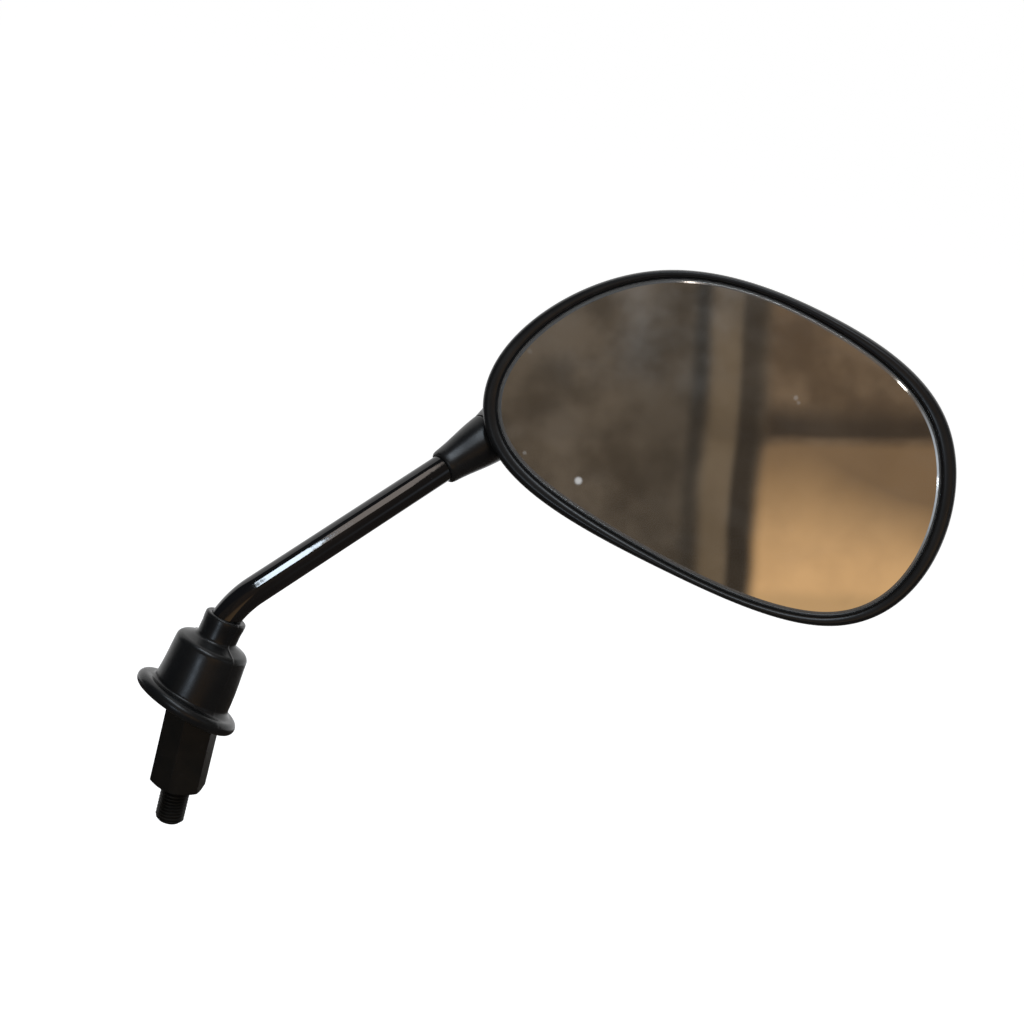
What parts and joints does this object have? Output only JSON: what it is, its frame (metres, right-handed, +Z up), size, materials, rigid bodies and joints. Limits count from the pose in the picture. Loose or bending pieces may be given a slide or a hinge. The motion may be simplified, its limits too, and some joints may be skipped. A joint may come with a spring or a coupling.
{
  "type": "motorcycle mirror",
  "caption": "Rear view mirror: convex glass in a domed housing on a ball joint, carried by a bent stem with a rubber boot and a threaded hexagonal adapter.",
  "frame": {"origin": "centre of the adapter hexagon's lower face, where it seats on the clamp", "axes": "+Z up the stud's axis, -Y towards the rider, +X outboard"},
  "size_m": [0.2543, 0.1183, 0.2251],
  "materials": {
    "adapter_steel": "black oxide",
    "stem_paint": "gloss black paint",
    "boot_rubber": "satin",
    "housing_plastic": "satin moulded",
    "mirror": "mirror",
    "seal_rubber": "matte",
    "zinc_steel": "zinc plated",
    "spring_steel": "oiled",
    "nylon": "natural nylon",
    "plate_plastic": "moulded",
    "foam": "closed cell foam"
  },
  "bodies": {
    "adapter": {"adapter": "adapter_steel"},
    "stem": {"stem": "stem_paint", "lock_nut": "zinc_steel", "lock_washer": "zinc_steel", "rubber_boot": "boot_rubber", "ball_washer": "zinc_steel", "ball_screw": "zinc_steel"},
    "ball": {"pivot_ball": "zinc_steel"},
    "seats": {"seat_inner": "nylon", "seat_outer": "nylon"},
    "head": {"housing": "housing_plastic", "pressure_cup": "zinc_steel", "disc_springs": "spring_steel", "retaining_ring": "zinc_steel", "neck_gaiter": "boot_rubber", "backing_plate": "plate_plastic", "plate_screws": "zinc_steel", "foam_pad": "foam", "glass_seal": "seal_rubber", "mirror_glass": "mirror"}
  },
  "joints": [
    {"name": "stem_turn", "type": "hinge", "parent": "adapter", "child": "stem", "pos_m": [0, 0, 0], "axis": [0, 0, 1], "range_deg": [-180, 180]},
    {"name": "head_swivel", "type": "hinge", "parent": "stem", "child": "ball", "pos_m": [0.07705, 0.07185, 0.13739], "axis": [0.5991, 0.5587, 0.5736], "range_deg": [-90, 90]},
    {"name": "head_tilt", "type": "hinge", "parent": "ball", "child": "seats", "pos_m": [0.07705, 0.07185, 0.13739], "axis": [0.7701, -0.2058, -0.6038], "range_deg": [-10, 10], "deforming": ["neck_gaiter"]},
    {"name": "head_pan", "type": "hinge", "parent": "seats", "child": "head", "pos_m": [0.07705, 0.07185, 0.13739], "axis": [0.2193, -0.8034, 0.5535], "range_deg": [-10, 10], "deforming": ["neck_gaiter"]}
  ]
}
